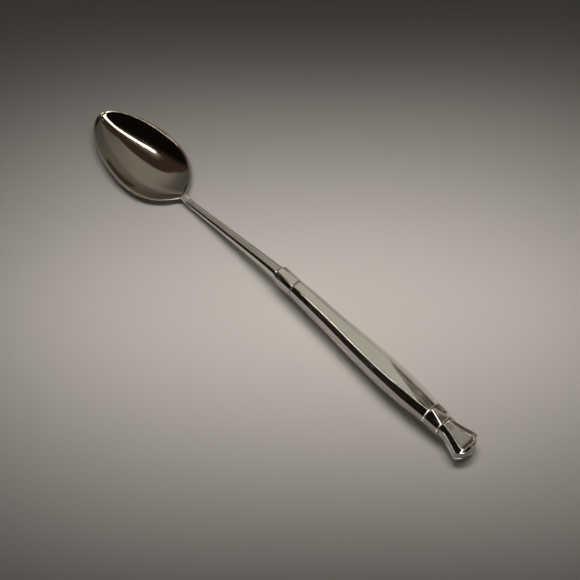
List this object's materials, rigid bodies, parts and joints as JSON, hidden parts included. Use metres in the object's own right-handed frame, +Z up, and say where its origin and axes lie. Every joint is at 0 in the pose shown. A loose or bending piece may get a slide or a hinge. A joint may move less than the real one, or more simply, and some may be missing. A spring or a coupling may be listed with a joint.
{
  "type": "iced tea spoon",
  "caption": "Long-handled spoon with an egg-shaped bowl, slender shank, ferrule and faceted hollow handle ending in a knot and fan.",
  "frame": {"origin": "middle of the bottom of the bounding box, on the table under the spoon", "axes": "+Z up; +X along the spoon from the bowl to the end of the handle; +Y across it, the two sides being mirror images"},
  "size_m": [0.2, 0.029, 0.0139],
  "materials": {
    "bowl_steel": "polished",
    "handle_silver": "polished",
    "solder": "dull",
    "cement": "matt"
  },
  "bodies": {
    "root": {"bowl_and_shank": "bowl_steel", "ferrule": "handle_silver", "ferrule_solder": "solder", "handle_front_shell": "handle_silver", "handle_back_shell": "handle_silver", "seam_solder": "solder", "handle_filler": "cement"}
  },
  "joints": []
}
